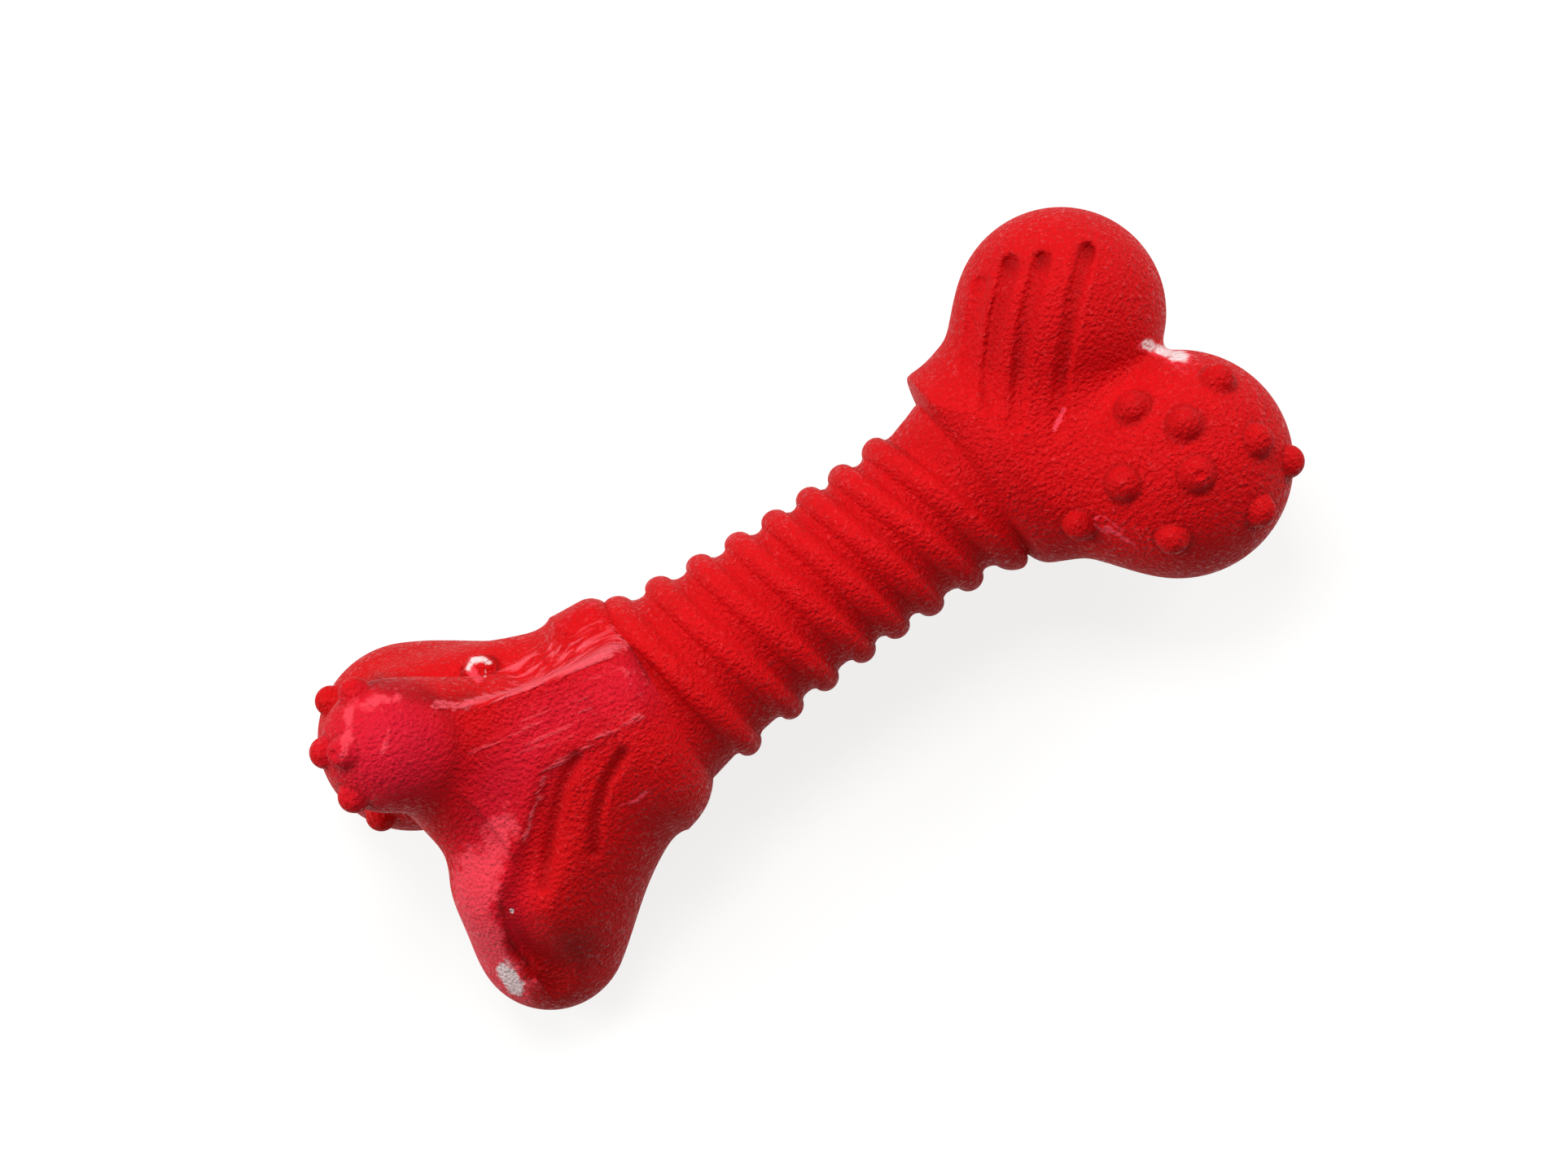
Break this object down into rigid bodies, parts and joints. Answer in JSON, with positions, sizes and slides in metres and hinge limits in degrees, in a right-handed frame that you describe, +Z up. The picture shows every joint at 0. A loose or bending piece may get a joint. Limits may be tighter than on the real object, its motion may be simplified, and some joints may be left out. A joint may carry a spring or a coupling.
{
  "type": "rubber chew toy",
  "caption": "Solid rubber bone chew toy with a ribbed middle, grooved lobes and lobes with small domes.",
  "frame": {"origin": "on the floor, under the middle of the toy's box", "axes": "+X along the bone to the head with the large domed lobe, +Z up as it lies"},
  "size_m": [0.1506, 0.068, 0.0523],
  "materials": {
    "red_rubber": "matte"
  },
  "bodies": {
    "root": {"shaft_core": "red_rubber", "rib_1": "red_rubber", "rib_2": "red_rubber", "rib_3": "red_rubber", "rib_4": "red_rubber", "rib_5": "red_rubber", "rib_6": "red_rubber", "rib_7": "red_rubber", "rib_8": "red_rubber", "right_collar": "red_rubber", "left_collar": "red_rubber", "right_head": "red_rubber", "left_head": "red_rubber"}
  },
  "joints": []
}
